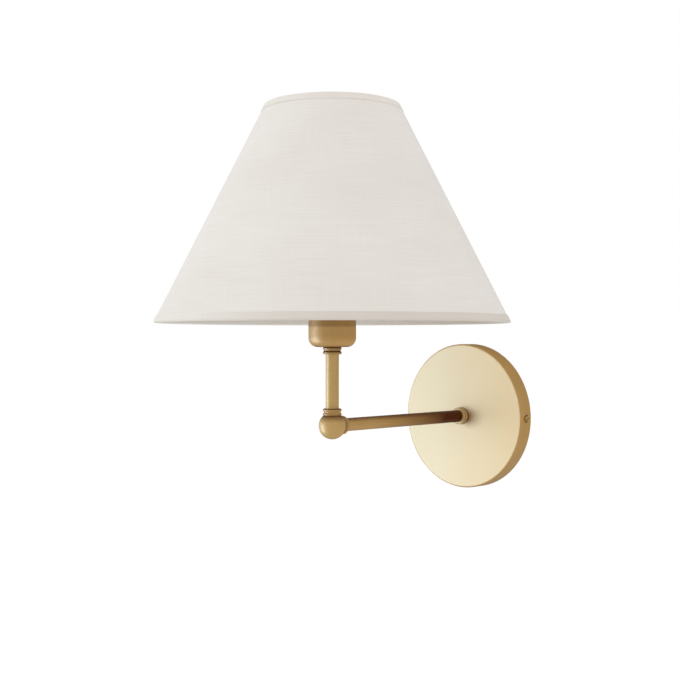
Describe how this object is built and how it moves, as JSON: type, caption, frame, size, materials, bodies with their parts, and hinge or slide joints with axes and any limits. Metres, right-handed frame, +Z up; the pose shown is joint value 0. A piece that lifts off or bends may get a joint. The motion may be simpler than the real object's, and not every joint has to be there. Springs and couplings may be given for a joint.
{
  "type": "wall lamp",
  "caption": "Fixed wall lamp: a round wall plate, straight arm, ball elbow and short stem carry a cup with a lampholder and a conical fabric shade.",
  "frame": {"origin": "centre of the wall plate's back face, on the wall and on the arm's axis", "axes": "+Y into the wall, -Y along the arm into the room, +Z up along the stem, +X to the right as seen from the room"},
  "size_m": [0.3063, 0.3496, 0.3457],
  "materials": {
    "satin_brass": "satin lacquered brass with a fine turned grain",
    "bracket_steel": "zinc plated pressed steel",
    "zinc_steel": "zinc plated steel",
    "screw_brass": "turned brass",
    "contact_brass": "bare brass",
    "earth_tin": "tinned",
    "block_plastic": "moulded",
    "holder_white": "moulded, smooth",
    "ring_white": "moulded, smooth",
    "shade_linen": "off-white linen, plain weave with slubs",
    "shade_lining": "white, matt",
    "frame_white": "white powder coat",
    "opal_glass": "opal",
    "bulb_nickel": "nickel plated",
    "bulb_black": "black glass insulator",
    "bulb_solder": "solder",
    "wire_brown": "insulated wire",
    "wire_blue": "insulated wire",
    "wire_green": "insulated wire"
  },
  "bodies": {
    "fixture": {"backplate": "satin_brass", "arm_tube": "satin_brass", "stem_tube": "satin_brass", "wall_collar": "satin_brass", "arm_elbow_collar": "satin_brass", "stem_elbow_collar": "satin_brass", "cup_collar": "satin_brass", "elbow_ball": "satin_brass", "holder_cup": "satin_brass", "wall_bracket": "bracket_steel", "arm_pipe": "zinc_steel", "stem_pipe": "zinc_steel", "arm_washer": "zinc_steel", "arm_locknut": "zinc_steel", "cup_locknut": "zinc_steel", "terminal_screws": "zinc_steel", "block_screw": "zinc_steel", "earth_screw": "zinc_steel", "holder_terminal_screws": "zinc_steel", "rim_screws": "screw_brass", "terminal_inserts": "contact_brass", "holder_terminals": "contact_brass", "side_contact": "contact_brass", "screw_shell": "contact_brass", "earth_tag": "earth_tin", "terminal_block": "block_plastic", "holder_cap": "holder_white", "holder_core": "holder_white", "holder_skirt": "holder_white", "wire_live": "wire_brown", "wire_neutral": "wire_blue", "wire_earth": "wire_green"},
    "shade": {"shade_fabric": "shade_linen", "shade_lining": "shade_lining", "shade_bottom_hem": "shade_linen", "shade_top_hem": "shade_linen", "shade_bottom_wire": "frame_white", "shade_top_wire": "frame_white", "shade_seat_ring": "frame_white", "shade_spokes": "frame_white"},
    "ring_nut": {"shade_ring": "ring_white"},
    "lamp": {"bulb_glass": "opal_glass", "bulb_cap": "bulb_nickel", "bulb_insulator": "bulb_black", "bulb_contact": "bulb_solder"},
    "contact_tongue": {"centre_contact": "contact_brass"}
  },
  "joints": [
    {"name": "shade_turn", "type": "hinge", "parent": "fixture", "child": "shade", "pos_m": [0, -0.1965, 0.1123], "axis": [0, 0, 1], "continuous": true},
    {"name": "ring_unscrew", "type": "slide", "parent": "fixture", "child": "ring_nut", "axis": [0, 0, 1], "range_m": [0, 0.008]},
    {"name": "lamp_unscrew", "type": "slide", "parent": "fixture", "child": "lamp", "axis": [0, 0, 1], "range_m": [0, 0.045]},
    {"name": "contact_press", "type": "slide", "parent": "fixture", "child": "contact_tongue", "axis": [0, 0, 1], "range_m": [-0.001, 0], "stiffness_N_per_m": 1500}
  ]
}
